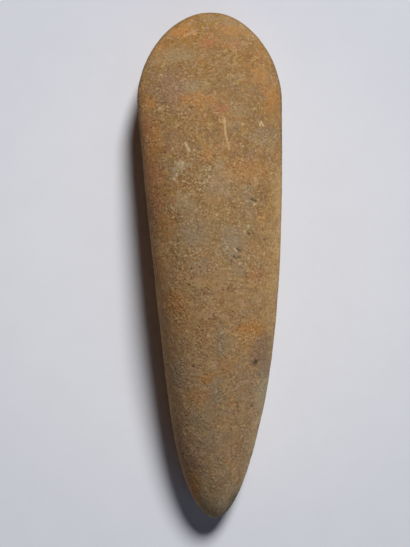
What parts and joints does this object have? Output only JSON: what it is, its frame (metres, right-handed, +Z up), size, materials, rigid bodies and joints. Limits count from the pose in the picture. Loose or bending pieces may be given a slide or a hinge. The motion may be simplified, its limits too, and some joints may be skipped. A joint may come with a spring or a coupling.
{
  "type": "stone axe head",
  "caption": "Ground stone axe head with a rounded blade, an oval section and a narrow blunt butt, lying loose on its flatter face.",
  "frame": {"origin": "on the surface the axe lies on, at the middle of its bounding box seen from above", "axes": "+Y runs along the axe from the butt to the blade, +Z points up from the surface it lies on, and +X points to its right-hand flank"},
  "size_m": [0.0536, 0.19, 0.0362],
  "materials": {
    "stone": "matte"
  },
  "bodies": {
    "root": {"axe_head": "stone"}
  },
  "joints": []
}
